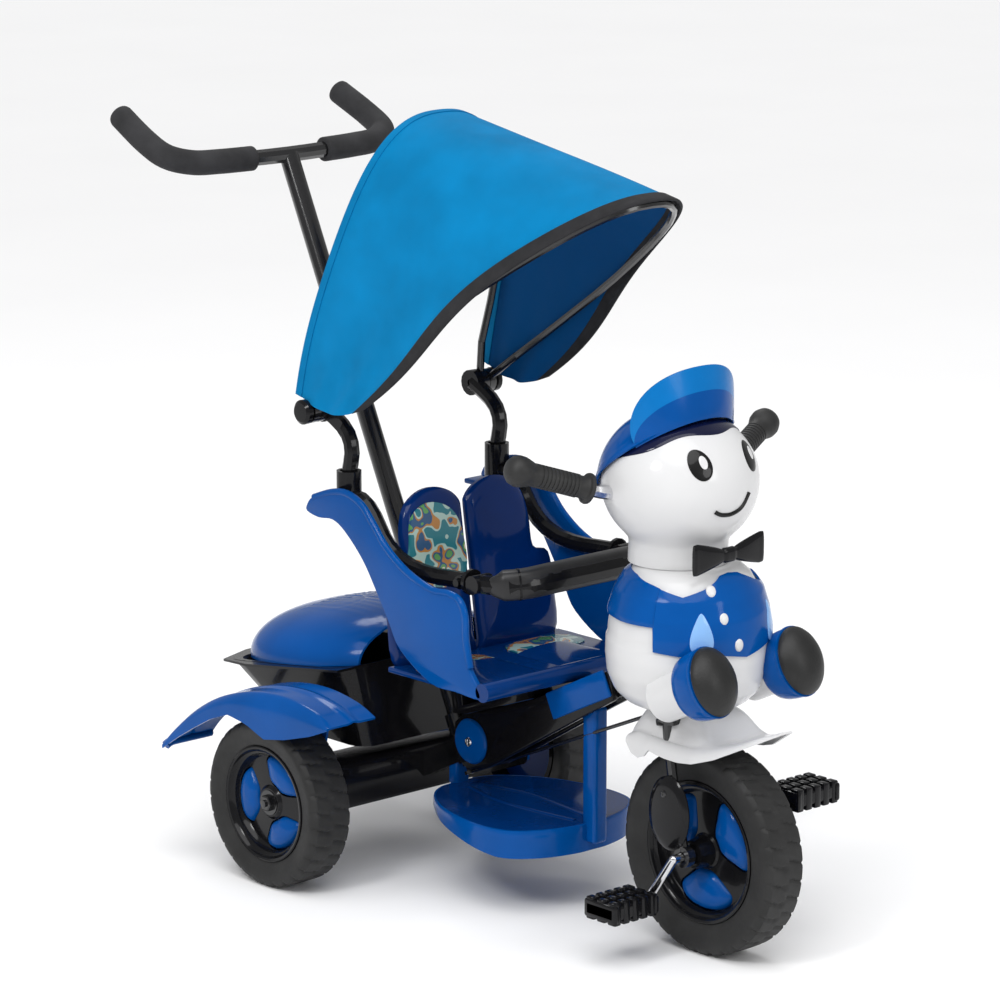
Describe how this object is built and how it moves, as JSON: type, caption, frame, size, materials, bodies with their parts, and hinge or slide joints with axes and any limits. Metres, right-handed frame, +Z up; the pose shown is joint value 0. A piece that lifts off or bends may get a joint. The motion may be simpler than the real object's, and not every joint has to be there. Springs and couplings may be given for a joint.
{
  "type": "children's tricycle",
  "caption": "Children's tricycle with a steering push handle, tilting fabric canopy, lift-up safety guard, lidded rear bucket and a doll-shaped front.",
  "frame": {"origin": "on the ground under the middle of the tricycle's length and width", "axes": "+X points forward, +Y to the rider's left, +Z up"},
  "size_m": [1.0237, 0.503, 0.9573],
  "materials": {
    "blue_shell": "glossy moulded plastic",
    "white_shell": "glossy moulded plastic",
    "black_shell": "glossy moulded plastic",
    "guard_cover": "soft padded cover",
    "grip_rubber": "semi-matt rubber",
    "foam": "matt foam",
    "tyre": "matt tread",
    "painted_tube": "glossy enamel",
    "bright_metal": "bright plating",
    "canopy_cloth": "plain woven cloth"
  },
  "bodies": {
    "root": {"main_beam": "painted_tube", "steerer_bush": "white_shell", "housing_right": "black_shell", "housing_left": "black_shell", "pivot_cap_right": "blue_shell", "pivot_cap_left": "blue_shell", "beam_plate_right": "blue_shell", "beam_plate_left": "blue_shell", "rear_axle_beam": "black_shell", "rear_axle": "bright_metal", "fender_right": "blue_shell", "fender_left": "blue_shell", "footrest": "blue_shell", "basket": "black_shell", "seat_shell": "blue_shell", "seat_bracket": "black_shell", "guard_arm_right": "black_shell", "guard_arm_left": "black_shell", "canopy_upright_right": "black_shell", "canopy_upright_left": "black_shell", "canopy_knob_right": "black_shell", "canopy_knob_left": "black_shell"},
    "lid": {"basket_lid": "blue_shell"},
    "guard": {"front_guard": "guard_cover"},
    "guard_release": {"guard_button": "black_shell"},
    "canopy_rear": {"rear_bow": "black_shell", "canopy_fabric": "canopy_cloth"},
    "canopy_front": {"front_bow": "black_shell"},
    "steering": {"fork": "painted_tube", "fork_shield_right": "black_shell", "fork_shield_left": "black_shell", "handlebar": "bright_metal", "grip_right": "grip_rubber", "grip_left": "grip_rubber", "front_fender": "white_shell", "doll_trousers": "white_shell", "doll_jacket": "blue_shell", "shoe_right": "blue_shell", "shoe_left": "blue_shell", "sole_right": "black_shell", "sole_left": "black_shell", "bow_tie": "black_shell", "doll_head": "white_shell", "doll_cap": "blue_shell"},
    "front_wheel": {"front_tyre": "tyre", "front_rim": "black_shell", "front_wheel_insert": "blue_shell", "crankshaft": "bright_metal"},
    "pedal_right": {"pedal_right": "black_shell"},
    "pedal_left": {"pedal_left": "black_shell"},
    "rear_wheel_right": {"rear_right_tyre": "tyre", "rear_right_rim": "black_shell", "rear_right_wheel_insert": "blue_shell"},
    "rear_wheel_left": {"rear_left_tyre": "tyre", "rear_left_rim": "black_shell", "rear_left_wheel_insert": "blue_shell"},
    "push_pole": {"push_pole": "painted_tube", "push_grip_right": "foam", "push_grip_left": "foam"},
    "link": {"steering_link": "painted_tube"}
  },
  "joints": [
    {"name": "steer", "type": "hinge", "parent": "root", "child": "steering", "pos_m": [0.3868, 0, 0.125], "axis": [-0.1908, 0, 0.9816], "range_deg": [-25, 25]},
    {"name": "front_wheel_spin", "type": "hinge", "parent": "steering", "child": "front_wheel", "pos_m": [0.3868, 0, 0.125], "axis": [0, 1, 0], "continuous": true},
    {"name": "pedal_right_spin", "type": "hinge", "parent": "front_wheel", "child": "pedal_right", "pos_m": [0.35092, -0.1155, 0.0708], "axis": [0, 1, 0], "continuous": true},
    {"name": "pedal_left_spin", "type": "hinge", "parent": "front_wheel", "child": "pedal_left", "pos_m": [0.42268, 0.1155, 0.1792], "axis": [0, 1, 0], "continuous": true},
    {"name": "rear_wheel_right_spin", "type": "hinge", "parent": "root", "child": "rear_wheel_right", "pos_m": [-0.1652, -0.211, 0.106], "axis": [0, 1, 0], "continuous": true},
    {"name": "rear_wheel_left_spin", "type": "hinge", "parent": "root", "child": "rear_wheel_left", "pos_m": [-0.1652, 0.211, 0.106], "axis": [0, 1, 0], "continuous": true},
    {"name": "canopy_tilt", "type": "hinge", "parent": "root", "child": "canopy_rear", "pos_m": [-0.1752, 0, 0.59], "axis": [0, -1, 0], "range_deg": [-15, 25]},
    {"name": "canopy_fold", "type": "hinge", "parent": "canopy_rear", "child": "canopy_front", "pos_m": [-0.1752, 0, 0.59], "axis": [0, -1, 0], "range_deg": [0, 35], "deforming": ["canopy_fabric"]},
    {"name": "lid_hinge", "type": "hinge", "parent": "root", "child": "lid", "pos_m": [-0.1312, 0, 0.272], "axis": [0, 1, 0], "range_deg": [0, 30]},
    {"name": "guard_lift", "type": "hinge", "parent": "root", "child": "guard", "pos_m": [0.1088, 0, 0.418], "axis": [0, -1, 0], "range_deg": [0, 85]},
    {"name": "guard_button_press", "type": "slide", "parent": "root", "child": "guard_release", "axis": [0, 1, 0], "range_m": [0, 0.003], "stiffness_N_per_m": 300},
    {"name": "push_pole_turn", "type": "hinge", "parent": "root", "child": "push_pole", "pos_m": [-0.0497, 0, 0.159], "axis": [-0.4305, 0, 0.9026], "range_deg": [-25, 25]},
    {"name": "link_slide", "type": "slide", "parent": "root", "child": "link", "axis": [0.9172, 0, 0.3985], "range_m": [-0.004, 0.004]}
  ],
  "couplings": [
    {"joint": "push_pole_turn", "follows": "steer", "ratio": 1},
    {"joint": "link_slide", "follows": "steer", "m_per_rad": 0.009}
  ]
}
